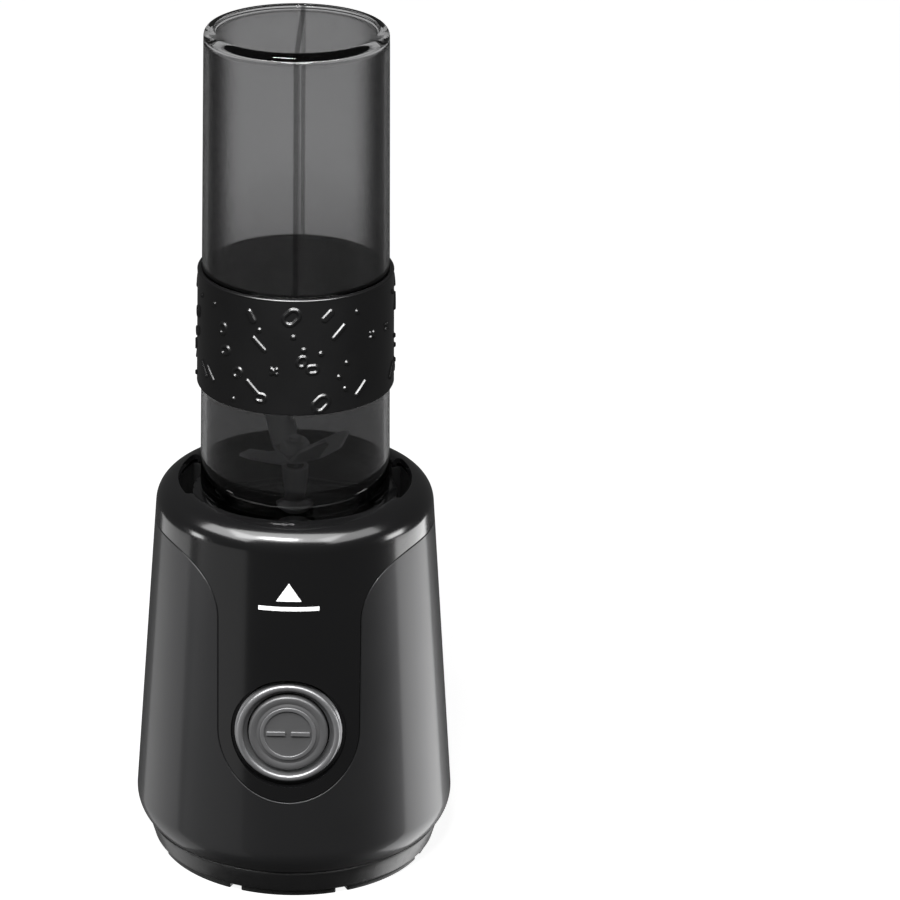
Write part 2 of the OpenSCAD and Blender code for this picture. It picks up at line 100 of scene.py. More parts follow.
# ---------------------------------------------------------------- mesh helpers
def new_object(name, verts, faces, body, slot, replaced):
    """A piece of the visual model, in place of the CAD nodes it replaces."""
    mesh = bpy.data.meshes.new(name)
    mesh.from_pydata([tuple(v) for v in verts], [], [tuple(f) for f in faces])
    mesh.validate()
    mesh.update()
    obj = bpy.data.objects.new(name, mesh)
    bpy.context.scene.collection.objects.link(obj)
    finish_piece(obj, body, slot, replaced)
    return obj


def finish_piece(obj, body, slot, replaced):
    obj.data.materials.append(MATERIALS[slot])
    shade_smooth(obj)
    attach(obj, body)
    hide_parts(*replaced)


def shade_smooth(obj):
    for face in obj.data.polygons:
        face.use_smooth = True


def fix_normals(obj):
    bm = bmesh.new()
    bm.from_mesh(obj.data)
    bmesh.ops.remove_doubles(bm, verts=bm.verts, dist=1e-6)
    bmesh.ops.recalc_face_normals(bm, faces=bm.faces)
    bm.to_mesh(obj.data)
    bm.free()
    obj.data.update()


def bevel(obj, width, segments=3, angle=35):
    mod = obj.modifiers.new("edge_round", "BEVEL")
    mod.width = width
    mod.segments = segments
    mod.limit_method = "ANGLE"
    mod.angle_limit = math.radians(angle)
    mod.harden_normals = True
    mod.use_clamp_overlap = True


def thicken(obj, thickness):
    mod = obj.modifiers.new("thickness", "SOLIDIFY")
    mod.thickness = thickness
    mod.offset = -1
    mod.use_even_offset = True


def revolve(name, outline, body, slot, replaced, steps, place=None, bend=None):
    """Closed solid of revolution of an outline of (radius, height) points, about Z, then moved by place."""
    verts, faces, rings = [], [], []
    for r, z in outline:
        if r < 1e-7:
            rings.append([len(verts)] * steps)
            verts.append(Vector((0, 0, z)))
            continue
        start = len(verts)
        for i in range(steps):
            a = 2 * math.pi * i / steps
            verts.append(Vector((r * math.cos(a), r * math.sin(a), z)))
        rings.append([start + i for i in range(steps)])
    count = len(rings)
    for k in range(count):
        low, high = rings[k], rings[(k + 1) % count]
        for i in range(steps):
            j = (i + 1) % steps
            quad = [low[i], low[j], high[j], high[i]]
            face = list(dict.fromkeys(quad))
            if len(face) > 2:
                faces.append(face)
    if bend:
        verts = [bend(v) for v in verts]
    if place:
        verts = [place @ v for v in verts]
    obj = new_object(name, verts, faces, body, slot, replaced)
    fix_normals(obj)
    return obj


def arc(r, z, radius, a0, a1, steps):
    """Points of a round in the radius-height plane, angles in degrees."""
    out = []
    for i in range(steps + 1):
        a = math.radians(a0 + (a1 - a0) * i / steps)
        out.append((r + radius * math.cos(a), z + radius * math.sin(a)))
    return out


def rounded(points, radius, steps):
    """The same closed outline with each corner rounded by up to radius."""
    out = []
    for i, point in enumerate(points):
        p = Vector(point)
        before, after = Vector(points[i - 1]), Vector(points[(i + 1) % len(points)])
        a, b = (before - p), (after - p)
        cut = min(radius, a.length * 0.45, b.length * 0.45)
        start, end = p + a.normalized() * cut, p + b.normalized() * cut
        for k in range(steps + 1):
            t = k / steps
            q = start * (1 - t) ** 2 + p * 2 * t * (1 - t) + end * t * t
            out.append((q.x, q.y))
    return out


# ---------------------------------------------------------------- materials
MATERIALS = {}
for imported in list(bpy.data.materials):
    bpy.data.materials.remove(imported)


def material(name, color, roughness, metallic=0.0, rough_var=0.1, tone_var=0.15, scale=60.0,
             bump=0.1, bump_size=0.0002, grain=900.0, stretch=(1, 1, 1), **more):
    """Principled surface whose tone, roughness and height vary with noise at two scales.

    More sockets of the shader are named with underscores for spaces.
    """
    mat = bpy.data.materials.new(name)
    mat.use_nodes = True
    tree = mat.node_tree
    shader = tree.nodes["Principled BSDF"]
    shader.inputs["Metallic"].default_value = metallic
    for key, value in more.items():
        shader.inputs[key.replace("_", " ")].default_value = value
    coords = tree.nodes.new("ShaderNodeTexCoord")
    mapping = tree.nodes.new("ShaderNodeMapping")
    mapping.inputs["Scale"].default_value = stretch
    tree.links.new(coords.outputs["Object"], mapping.inputs["Vector"])
    broad = tree.nodes.new("ShaderNodeTexNoise")
    broad.inputs["Scale"].default_value = scale
    broad.inputs["Detail"].default_value = 4
    fine = tree.nodes.new("ShaderNodeTexNoise")
    fine.inputs["Scale"].default_value = grain
    fine.inputs["Detail"].default_value = 2
    tree.links.new(mapping.outputs["Vector"], broad.inputs["Vector"])
    tree.links.new(mapping.outputs["Vector"], fine.inputs["Vector"])
    tone = tree.nodes.new("ShaderNodeMix")
    tone.data_type = "RGBA"
    tone.inputs["A"].default_value = (*[c * (1 - tone_var) for c in color], 1)
    tone.inputs["B"].default_value = (*[min(1, c * (1 + tone_var)) for c in color], 1)
    tree.links.new(broad.outputs["Fac"], tone.inputs["Factor"])
    tree.links.new(tone.outputs["Result"], shader.inputs["Base Color"])
    rough = tree.nodes.new("ShaderNodeMapRange")
    rough.inputs["To Min"].default_value = max(0, roughness - rough_var)
    rough.inputs["To Max"].default_value = roughness + rough_var
    tree.links.new(broad.outputs["Fac"], rough.inputs["Value"])
    tree.links.new(rough.outputs["Result"], shader.inputs["Roughness"])
    height = tree.nodes.new("ShaderNodeBump")
    height.inputs["Strength"].default_value = bump
    height.inputs["Distance"].default_value = bump_size
    tree.links.new(fine.outputs["Fac"], height.inputs["Height"])
    tree.links.new(height.outputs["Normal"], shader.inputs["Normal"])
    MATERIALS[name] = mat
    return mat


material("gloss_black", (0.0045, 0.0045, 0.0047), 0.19, rough_var=0.03, tone_var=0.1, scale=25,
         bump=0.02, grain=300, IOR=1.5, Coat_Weight=0.6, Coat_Roughness=0.12)
material("satin_grey", (0.034, 0.034, 0.0352), 0.41, metallic=0.75, rough_var=0.03, tone_var=0.05,
         scale=40, bump=0.06, bump_size=0.0001, grain=2500, Coat_Weight=0.35, Coat_Roughness=0.12)
material("black_plastic", (0.008, 0.008, 0.0082), 0.36, bump=0.2, grain=1800)
material("black_rubber", (0.008, 0.008, 0.008), 0.55, bump=0.3, grain=1200)
material("sleeve_rubber", (0.0025, 0.0025, 0.0026), 0.30, rough_var=0.05, bump=0.08, grain=2200,
         Coat_Weight=0.3, Coat_Roughness=0.14)
material("seal_rubber", (0.04, 0.04, 0.041), 0.5, bump=0.1)
material("zinc_steel", (0.52, 0.53, 0.54), 0.32, metallic=1, tone_var=0.1, bump=0.1)
material("bezel_grey", (0.26, 0.26, 0.265), 0.34, metallic=0.7, rough_var=0.04, bump=0.05)
material("button_grey", (0.12, 0.12, 0.122), 0.40, metallic=0.5, rough_var=0.04, bump=0.06)
material("symbol_grey", (0.2, 0.2, 0.204), 0.34, metallic=0.6, bump=0.05)
material("board_green", (0.02, 0.13, 0.06), 0.35, bump=0.2)
material("mark_white", (0.95, 0.95, 0.95), 0.35, tone_var=0.04, bump=0.05)
material("natural_plastic", (0.7, 0.69, 0.64), 0.4, bump=0.1)
material("cast_aluminium", (0.55, 0.55, 0.56), 0.45, metallic=1, bump=0.5, grain=700)
material("core_steel", (0.28, 0.28, 0.29), 0.4, metallic=1, bump=0.6, grain=900, stretch=(1, 1, 25))
material("copper_wire", (0.5, 0.18, 0.07), 0.3, metallic=1, bump=0.8, grain=600, stretch=(1, 1, 8))
material("copper_bar", (0.65, 0.3, 0.14), 0.25, metallic=1)
material("brass", (0.7, 0.52, 0.2), 0.3, metallic=1)
material("carbon", (0.015, 0.015, 0.015), 0.6)
material("bronze", (0.42, 0.29, 0.13), 0.4, metallic=1)
material("shaft_steel", (0.55, 0.55, 0.57), 0.22, metallic=1, stretch=(1, 1, 0.05))
material("stainless_steel", (0.78, 0.78, 0.79), 0.3, metallic=0.5, rough_var=0.06, tone_var=0.06, bump=0.06,
         grain=500, stretch=(1, 8, 8))
material("smoked_plastic", (0.42, 0.42, 0.423), 0.04, rough_var=0.015, tone_var=0.02, scale=20, bump=0.015,
         grain=120, IOR=1.5, Specular_IOR_Level=0.3, Transmission_Weight=1.0)


def absorb(mat, density):
    """Grey absorption through the thickness of a clear material, per metre."""
    tree = mat.node_tree
    volume = tree.nodes.new("ShaderNodeVolumeAbsorption")
    volume.inputs["Color"].default_value = (0.03, 0.03, 0.03, 1)
    volume.inputs["Density"].default_value = density
    tree.links.new(volume.outputs["Volume"], tree.nodes["Material Output"].inputs["Volume"])


def math_node(tree, operation, first, second=0.0):
    """Output of a math node whose inputs are sockets or numbers."""
    node = tree.nodes.new("ShaderNodeMath")
    node.operation = operation
    for socket, value in zip(node.inputs, (first, second)):
        if isinstance(value, bpy.types.NodeSocket):
            tree.links.new(value, socket)
        else:
            socket.default_value = value
    return node.outputs[0]


def ramp(tree, value, low, high, start, end):
    """Smooth change from start to end while a value goes from low to high."""
    node = tree.nodes.new("ShaderNodeMapRange")
    node.interpolation_type = "SMOOTHSTEP"
    for name, number in (("From Min", low), ("From Max", high), ("To Min", start), ("To Max", end)):
        node.inputs[name].default_value = number
    tree.links.new(value, node.inputs["Value"])
    return node.outputs["Result"]


def tint_and_shade_bottle(mat):
    """Darker towards the mouth, which is painted shade on the lower bottle; darker in a stripe along the mould
    line; and darker where the wall is seen edge on, which is painted shade at the bottle's outline.
    """
    # Shares of the colour kept: painted shade at the mouth end, the mould-line stripe, and painted shade where
    # the wall is seen edge on.
    mouth_shade_share, line_share, edge_shade_share = 0.47, 0.45, 0.05
    tree = mat.node_tree
    shader = tree.nodes["Principled BSDF"]
    color = shader.inputs["Base Color"].links[0].from_socket
    coords = tree.nodes.new("ShaderNodeTexCoord")
    split = tree.nodes.new("ShaderNodeSeparateXYZ")
    facing = tree.nodes.new("ShaderNodeLayerWeight")
    tree.links.new(coords.outputs["Object"], split.inputs[0])
    x, z = split.outputs["X"], split.outputs["Z"]
    # Painted shade on the lower bottle: the colour is scaled down at the sleeve's lower edge and below, and is
    # back to full 45 mm above the sleeve's top.
    low = ramp(tree, z, sleeve_low.z, sleeve_high.z + 45 * MM, mouth_shade_share, 1)
    aside = math_node(tree, "ABSOLUTE", math_node(tree, "SUBTRACT", x, MOULD_LINE_X))
    under_sleeve = math_node(tree, "LESS_THAN", z, sleeve_low.z)
    off_line = ramp(tree, aside, 0.7 * MM, 1.2 * MM, line_share, 1)
    stripe = math_node(tree, "MAXIMUM", off_line, under_sleeve)
    # Painted shade where the wall is seen edge on, left off the top 5 mm of the bottle and off the part under
    # the sleeve.
    on_top = math_node(tree, "GREATER_THAN", z, bottle_high.z - 5 * MM)
    spared = math_node(tree, "MAXIMUM", on_top, under_sleeve)
    edge_on_shade = ramp(tree, facing.outputs["Facing"], 0.22, 0.55, 1, edge_shade_share)
    edge = math_node(tree, "MAXIMUM", edge_on_shade, spared)
    # The base colour, scaled by the mould-line stripe and by the two painted shades.
    tint_and_shade = tree.nodes.new("ShaderNodeVectorMath")
    tint_and_shade.operation = "SCALE"
    tree.links.new(color, tint_and_shade.inputs[0])
    share = math_node(tree, "MULTIPLY", math_node(tree, "MULTIPLY", low, stripe), edge)
    tree.links.new(share, tint_and_shade.inputs["Scale"])
    tree.links.new(tint_and_shade.outputs["Vector"], shader.inputs["Base Color"])


absorb(MATERIALS["smoked_plastic"], 8)
# Painted shade on the bottle: darker lower down and where its wall is seen edge on.
tint_and_shade_bottle(MATERIALS["smoked_plastic"])


for entry in frame["record"]["subparts"]:
    dressed = nodes[entry["node"]]
    dressed.data.materials.clear()
    dressed.data.materials.append(MATERIALS[entry["material_slot"]])


# ---------------------------------------------------------------- base outline
def wall_r(z):
    return BASE_R + (SHOULDER_R - BASE_R) * (z - BASE_R_Z) / (SHOULDER_Z - BASE_R_Z)


WALL_ROWS = 62
CREST_ROWS = 26


def base_outline():
    """Outside of the base from the low seam up over the shoulder and into the well."""
    lean = math.degrees(LEAN)
    low_r = wall_r(BASE_R_Z + LOW_ROUND * math.sin(LEAN)) - LOW_ROUND * math.cos(LEAN)
    crest_r = wall_r(SHOULDER_Z + SHOULDER_ROUND * math.sin(LEAN)) - SHOULDER_ROUND * math.cos(LEAN)
    start_a = math.degrees(math.asin((LOW_SEAM_Z - BASE_R_Z) / LOW_ROUND))
    points = arc(low_r, BASE_R_Z, LOW_ROUND, start_a, lean, 18)
    low_end, high_start = points[-1][1], SHOULDER_Z + SHOULDER_ROUND * math.sin(LEAN)
    rise = high_start - low_end
    heights = [low_end + rise * i / WALL_ROWS for i in range(1, WALL_ROWS)]
    points += [(wall_r(z), z) for z in heights]
    points += arc(crest_r, SHOULDER_Z, SHOULDER_ROUND, lean, 90, CREST_ROWS)
    points += arc(WELL_R + WELL_LIP_ROUND, SHOULDER_Z + SHOULDER_ROUND - WELL_LIP_ROUND, WELL_LIP_ROUND,
                  100, 180, 8)
    points += [(WELL_R, RIM_UNDER_Z + 0.8 * MM), (WELL_R, RIM_UNDER_Z)]
    return points


OUTLINE = np.array(base_outline())
ALONG = np.concatenate([[0], np.cumsum(np.hypot(*np.diff(OUTLINE, axis=0).T))])
FLAT_R = 60 * MM


def at(s):
    return np.interp(s, ALONG, OUTLINE[:, 0]), np.interp(s, ALONG, OUTLINE[:, 1])


def s_of_z(z):
    """Distance along the outline at a height below the crest."""
    top = int(np.argmax(OUTLINE[:, 1]))
    return float(np.interp(z, OUTLINE[:top, 1], ALONG[:top]))


def s_of_crest_r(r):
    """Distance along the outline where the shoulder comes in to a radius."""
    wide = int(np.argmax(OUTLINE[:, 1])) - CREST_ROWS + 2
    return float(np.interp(-r, -OUTLINE[wide:, 0], ALONG[wide:]))


def quarter_turn(steps):
    return [math.pi / 2 * i / steps for i in range(steps + 1)]


def panel_edge(grow):
    """Right edge of the panel, lowest point to seam, as (angle from the front, distance along)."""
    half, flare = PANEL_HALF_W + grow, FLARE_R - grow
    flare_x, flare_z = PANEL_HALF_W + FLARE_R, SEAM_Z - FLARE_R
    side_rows = 40
    points = [(half * math.sin(a), PANEL_Z - half * math.cos(a)) for a in quarter_turn(48)]
    points += [(half, PANEL_Z + (flare_z - PANEL_Z) * i / side_rows) for i in range(1, side_rows)]
    points += [(flare_x - flare * math.cos(a), flare_z + flare * math.sin(a)) for a in quarter_turn(40)]
    return [(math.asin(x / wall_r(z)), s_of_z(z)) for x, z in points]


def ring_line(a0, a1, s, step=math.radians(1)):
    count = max(2, round(abs(a1 - a0) / step))
    return [(a0 + (a1 - a0) * i / count, s) for i in range(1, count)]


def cut_line(a, s0, s1):
    """Points up or down a meridian from one distance along to another, on the rows between them."""
    inside = [s for s in LEVELS if min(s0, s1) + 0.5 * MM < s < max(s0, s1) - 0.5 * MM]
    return [(a, s) for s in (inside if s0 < s1 else inside[::-1])]


BUTTON_AXIS = Vector((0, -math.cos(LEAN), math.sin(LEAN)))
BUTTON_UP = Vector((0, math.sin(LEAN), math.cos(LEAN)))
BUTTON_CENTRE = Vector((0, -wall_r(BUTTON_Z), BUTTON_Z))
BUTTON_FRAME = Matrix.Translation(BUTTON_CENTRE) @ Matrix(
    ((1, 0, 0), (0, BUTTON_UP.y, BUTTON_AXIS.y), (0, BUTTON_UP.z, BUTTON_AXIS.z))).to_4x4()


def button_hole(radius, count=120):
    """Where a cylinder on the button's axis meets the wall."""
    out = []
    for i in range(count):
        a = 2 * math.pi * i / count
        x, v = radius * math.cos(a), radius * math.sin(a)
        z = BUTTON_Z + v
        for _ in range(12):
            y = -math.sqrt(wall_r(z) ** 2 - x * x)
            z = BUTTON_Z + (v - (y - BUTTON_CENTRE.y) * math.sin(LEAN)) / math.cos(LEAN)
        out.append((math.asin(x / wall_r(z)), s_of_z(z)))
    return out


def cord_hole(radius, count=48):
    out = []
    for i in range(count):
        a = 2 * math.pi * i / count
        z = CORD_Z + radius * math.sin(a)
        s = s_of_z(z)
        out.append((math.pi + math.asin(radius * math.cos(a) / float(at(s)[0])), s))
    return out


def inside_loops(points, loops):
    """Even-odd test of points against closed loops."""
    hit = np.zeros(len(points), bool)
    x, y = points[:, 0], points[:, 1]
    for loop in loops:
        ring = np.array(loop)
        for (x0, y0), (x1, y1) in zip(ring, np.roll(ring, -1, axis=0)):
            if y0 == y1:
                continue
            crosses = (y0 > y) != (y1 > y)
            hit ^= crosses & (x < x0 + (y - y0) * (x1 - x0) / (y1 - y0))
    return hit


def skin(name, loops, slot, replaced, depth=0.0, thickness=SKIN_T, edge=0.35 * MM):
    """A piece of the base's outside, bounded by loops of (angle from the front, distance along)."""
    flat = [[(a * FLAT_R, s) for a, s in loop] for loop in loops]
    points = [p for loop in flat for p in loop]
    edges, start = [], 0
    for loop in flat:
        edges += [(start + i, start + (i + 1) % len(loop)) for i in range(len(loop))]
        start += len(loop)
    lows = min(p[0] for p in points)
    highs = max(p[0] for p in points)
    step = math.radians(1) * FLAT_R
    grid = np.array([(lows + i * step, s) for s in LEVELS for i in range(1, int((highs - lows) / step))])
    grid = grid[inside_loops(grid, flat)]
    rim = np.array(points)
    near = np.array([np.min(np.hypot(*(rim - g).T)) > 0.62 * MM for g in grid])
    points += [tuple(g) for g in grid[near]]
    verts, _, faces, *_ = geometry.delaunay_2d_cdt([Vector(p) for p in points], edges, [], 0, 1e-9)
    flat_verts = np.array([tuple(v) for v in verts])
    centres = np.array([flat_verts[list(f)].mean(0) for f in faces])
    kept = inside_loops(centres, flat)
    r, z = at(flat_verts[:, 1])
    slope_r, slope_z = at(flat_verts[:, 1] + 1e-5)
    back_r, back_z = at(flat_verts[:, 1] - 1e-5)
    tangent = np.array([slope_r - back_r, slope_z - back_z])
    tangent /= np.hypot(*tangent)
    r, z = r - depth * tangent[1], z + depth * tangent[0]
    angle = flat_verts[:, 0] / FLAT_R
    placed = np.stack([r * np.sin(angle), -r * np.cos(angle), z], 1)
    obj = new_object(name, placed, [f for f, k in zip(faces, kept) if k], "base", slot, replaced)
    fix_normals(obj)
    side = sum(p.normal.dot(Vector((p.center.x, p.center.y, 0))) for p in obj.data.polygons)
    if side < 0:
        obj.data.flip_normals()
    thicken(obj, thickness)
    if edge:
        bevel(obj, edge)


END = float(ALONG[-1])
S_SEAM = s_of_z(SEAM_Z)
S_COVER_TOP = s_of_z(SEAM_Z - SEAM_GAP)
LEVELS = ALONG[1:-1]


def make_panel():
    right = panel_edge(0.0)
    left = [(-a, s) for a, s in right[:0:-1]]
    seam_a = right[-1][0]
    notch_s = s_of_crest_r(NOTCH_R)

    def inner_end():
        """Inner edge of the rim from the back round to the back, with a notch each side."""
        out, spans = [], []
        for centre in (math.pi / 2, -math.pi / 2):
            spans.append((centre + NOTCH_HALF_A, centre - NOTCH_HALF_A))
        corner = math.radians(1.5)
        out += ring_line(math.pi, spans[0][0] + corner, END)
        for k, (a0, a1) in enumerate(spans):
            out += [(a0 + corner, END), (a0, END - 1 * MM)]
            out += [(a0, END - (END - notch_s) * i / 8) for i in range(2, 7)]
            out += [(a0 - corner * 0.3, notch_s + 0.6 * MM), (a0 - corner, notch_s)]
            out += ring_line(a0 - corner, a1 + corner, notch_s)
            out += [(a1 + corner, notch_s), (a1 + corner * 0.3, notch_s + 0.6 * MM)]
            out += [(a1, END - (END - notch_s) * i / 8) for i in range(6, 1, -1)]
            out += [(a1, END - 1 * MM), (a1 - corner, END)]
            stop = spans[1][0] + corner if k == 0 else -math.pi
            out += ring_line(a1 - corner, stop, END)
        return out

    loop = right + ring_line(seam_a, math.pi, S_SEAM) + [(math.pi, S_SEAM)]
    loop += cut_line(math.pi, S_SEAM, END) + [(math.pi, END)]
    loop += inner_end() + [(-math.pi, END)] + cut_line(-math.pi, END, S_SEAM)
    loop += [(-math.pi, S_SEAM)] + ring_line(-math.pi, -seam_a, S_SEAM) + left
    skin("housing_panel", [loop, button_hole(RECESS_R)], "gloss_black", ("main_housing",))


def make_cover():
    edge = panel_edge(SEAM_GAP)
    edge = [(a, min(s, S_COVER_TOP)) for a, s in edge]
    tip_s, top_a = edge[0][1], edge[-1][0]
    turn = 2 * math.pi
    loop = [(0, 0)] + ring_line(0, turn, 0) + [(turn, 0)] + cut_line(turn, 0, tip_s) + [(turn, tip_s)]
    loop += [(turn - a, s) for a, s in edge[1:]]
    loop += ring_line(turn - top_a, top_a, S_COVER_TOP) + edge[:0:-1] + [(0, tip_s)]
    loop += cut_line(0, tip_s, 0)
    skin("side_cover_shell", [loop, cord_hole(CORD_HOLE_R)], "satin_grey", ("side_cover",))


def make_core():
    """The housing's plain wall behind the cover and the panel."""
    turn = 2 * math.pi
    low, high = 1 * MM, S_SEAM + 3 * MM
    loop = [(0, low)] + ring_line(0, turn, low) + [(turn, low)] + cut_line(turn, low, high)
    loop += [(turn, high)] + ring_line(turn, 0, high) + [(0, high)] + cut_line(0, high, low)
    front = button_hole(RECESS_R + 2 * MM)
    loops = [[(a - math.pi, s) for a, s in loop], front]
    skin("housing_core", loops, "black_plastic", ("main_housing",), depth=SKIN_T + 0.25 * MM,
         thickness=1.8 * MM, edge=0)


make_panel()
make_cover()
make_core()


# ---------------------------------------------------------------- push button
def below_wall(v, margin):
    """Keeps a point of the button frame under the curved wall."""
    r = wall_r(BUTTON_Z)
    v.z = min(v.z, math.sqrt(max(0, r * r - v.x * v.x)) - r - margin)
    return v


def make_pocket():
    outline = [(16.25, -4.5), (23.05, -4.5), (23.05, -0.9), (25.2, -0.9), (25.2, -13), (4.4, -13),
               (4.4, -10.6), (16.25, -10.6)]
    outline = rounded([(r * MM, z * MM) for r, z in outline], 0.25 * MM, 3)
    revolve("button_pocket", outline, "base", "gloss_black", ("main_housing",), steps=160,
            place=BUTTON_FRAME, bend=lambda v: below_wall(v, 0.9 * MM))


def make_bezel():
    foot, outer, inner = RECESS_FLOOR + 0.02 * MM, BEZEL_R, BEZEL_R - 2.8 * MM
    outline = [(CAP_R + 0.6 * MM, foot), (outer + 0.6 * MM, foot), (outer + 0.6 * MM, foot + 0.9 * MM),
               (outer, foot + 1.1 * MM)]
    outline += arc(outer - 1.4 * MM, -2.0 * MM, 1.4 * MM, 0, 180, 16)
    outline += [(inner, foot + 0.9 * MM), (CAP_R + 0.6 * MM, foot + 0.9 * MM)]
    revolve("bezel_ring", outline, "base", "bezel_grey", ("button_bezel",),
            steps=160, place=BUTTON_FRAME)


def make_cap():
    top = -0.8 * MM
    outline = [(0, top - 0.35 * MM)]
    outline += [(r * MM, top - 0.35 * MM * (1 - (r / 12) ** 4)) for r in (2, 4, 6, 8, 10, 11, 12)]
    outline += [(12.4 * MM, top - 0.35 * MM), (12.8 * MM, top - 0.3 * MM), (13.2 * MM, top - 0.05 * MM)]
    outline += arc(CAP_R - 1.2 * MM, top - 1.2 * MM, 1.2 * MM, 80, 0, 8)
    outline += [(CAP_R, -7 * MM), (13.6 * MM, -7 * MM), (13.6 * MM, -2.6 * MM), (4 * MM, -2.6 * MM),
                (4 * MM, -13.8 * MM), (0, -13.8 * MM)]
    revolve("cap", outline, "push_button", "button_grey", ("button_cap",),
            steps=160, place=BUTTON_FRAME)


def make_symbol():
    """A plain ring with a split bar, raised on the cap."""
    top, foot = -0.32 * MM, -1.3 * MM
    ring = [(9.6 * MM, foot), (11.2 * MM, foot), (11.2 * MM, top - 0.3 * MM)]
    ring += arc(10.9 * MM, top - 0.3 * MM, 0.3 * MM, 20, 90, 4)
    ring += arc(9.9 * MM, top - 0.3 * MM, 0.3 * MM, 90, 160, 4) + [(9.6 * MM, top - 0.3 * MM)]
    obj = revolve("switch_symbol", ring, "push_button", "symbol_grey", ("button_symbol",),
                  steps=128, place=BUTTON_FRAME)
    bm = bmesh.new()
    bm.from_mesh(obj.data)
    for side in (-1, 1):
        made = bmesh.ops.create_cube(bm, size=1)["verts"]
        size = Matrix.Diagonal((7.6 * MM, 1.8 * MM, top - foot, 1))
        place = BUTTON_FRAME @ Matrix.Translation((side * 4.9 * MM, 0, (top + foot) / 2)) @ size
        bmesh.ops.transform(bm, matrix=place, verts=made)
    bm.to_mesh(obj.data)
    bm.free()
    bevel(obj, 0.25 * MM, 2, 50)
    shade_smooth(obj)


make_pocket()
make_bezel()
make_cap()
make_symbol()


# ---------------------------------------------------------------- bottle and sleeve
def bottle_r(z):
    share = (z - NECK_TOP_Z) / (bottle_high.z - NECK_TOP_Z)
    return BOTTLE_LOW_R + (BOTTLE_TOP_R - BOTTLE_LOW_R) * share


def mould_line(v):
    """A fine raised line up the front and back of the bottle."""
    width, rise = 1.0 * MM, 0.18 * MM
    offset = abs(v.x - MOULD_LINE_X)
    if v.z > NECK_TOP_Z + 4 * MM and offset < width:
        r = math.hypot(v.x, v.y)
        if r > 25 * MM:
            push = 1 + rise / r * math.cos(math.pi / 2 * offset / width)
            v.x, v.y = v.x * push, v.y * push
    return v


def make_bottle():
    top, mouth = bottle_high.z, bottle_low.z
    disc, inner_top, corner = top - 1.2 * MM, top - 3.6 * MM, 3 * MM
    outline = [(33.9 * MM, mouth + 0.4 * MM), (34.3 * MM, mouth), (NECK_R - 0.4 * MM, mouth),
               (NECK_R, mouth + 0.4 * MM), (NECK_R, NECK_TOP_Z - 0.3 * MM), (NECK_R + 0.4 * MM, NECK_TOP_Z)]
    outline += arc(bottle_r(NECK_TOP_Z) - 0.8 * MM, NECK_TOP_Z + 0.8 * MM, 0.8 * MM, -90, 0, 5)
    outline += [(bottle_r(z), z) for z in np.linspace(NECK_TOP_Z + 6 * MM, top - 6 * MM, 24)]
    outline += arc(BOTTLE_TOP_R - corner, top - corner, corner, 2, 84, 14)
    outline += arc(32.3 * MM, top - 0.5 * MM, 0.5 * MM, 90, 160, 6)
    outline += arc(31.2 * MM, disc + 0.5 * MM, 0.5 * MM, -10, -90, 6)
    outline += [(r * MM, disc + 0.2 * MM * (1 - (r / 31) ** 2)) for r in (28, 24, 18, 12, 6, 2)]
    outline += [(0, disc + 0.2 * MM), (0, inner_top)]
    outline += [(r * MM, inner_top) for r in (2, 8, 16, 24, 28)]
    outline += arc(BOTTLE_TOP_R - BOTTLE_WALL - corner, inner_top - corner, corner, 90, 0, 10)
    outline += [(bottle_r(z) - BOTTLE_WALL, z) for z in np.linspace(top - 10 * MM, NECK_TOP_Z + 8 * MM, 24)]
    outline += [(34.1 * MM, NECK_TOP_Z + 3 * MM), (33.9 * MM, NECK_TOP_Z)]
    revolve("bottle_shell", outline, "bottle_unit", "smoked_plastic", ("bottle",),
            steps=360, bend=mould_line)


# Raised marks of the sleeve over a third of its girth: kind, degrees, height share, tilt in degrees
SLEEVE_MARKS = (
    ("ring", 0, 0.85, 45), ("pill", 21, 0.85, 45), ("dash", 28, 0.70, 45), ("dot", 40, 0.84, 0),
    ("dot", 1, 0.68, 0), ("dot", 7, 0.57, 0), ("oval", 6, 0.47, 60), ("oval", 12, 0.40, 0),
    ("dot", 17, 0.53, 0), ("dash", -19, 0.60, -45), ("pill", -24, 0.83, -60), ("dot", -19, 0.72, 0),
    ("oval", -44, 0.66, 80), ("oval", -42, 0.48, 20), ("dot", -52, 0.84, 0), ("cross", -10, 0.38, 45),
    ("dash", -23, 0.22, -45), ("oval", -18, 0.14, 0), ("ring", 17, 0.10, 45), ("dash", 43, 0.17, 45),
    ("dot", 28, 0.31, 0), ("dot", 32, 0.20, 0), ("dot", 33, 0.42, 0), ("dash", -56, 0.22, -45),
    ("dot", -36, 0.08, 0), ("cross", 52, 0.60, 45), ("oval", -33, 0.32, 40))


def capsule(u, v, half, radius):
    return np.hypot(np.maximum(np.abs(u) - half, 0), v) - radius


def mark_distance(kind, u, v):
    """Signed distance in metres to one mark."""
    line = 0.65 * MM
    if kind == "dot":
        return np.hypot(u, v) - 0.9 * MM
    if kind == "dash":
        return capsule(u, v, 3.2 * MM, 0.75 * MM)
    if kind == "pill":
        return capsule(u, v, 1.8 * MM, 1.15 * MM)
    if kind == "oval":
        return np.abs(capsule(u, v, 0.6 * MM, 1.5 * MM)) - line * 0.8
    if kind == "ring":
        return np.abs(capsule(u, v, 1.1 * MM, 2.3 * MM)) - line
    return np.minimum(capsule(u, v, 1.5 * MM, 0.55 * MM), capsule(v, u, 1.5 * MM, 0.55 * MM))


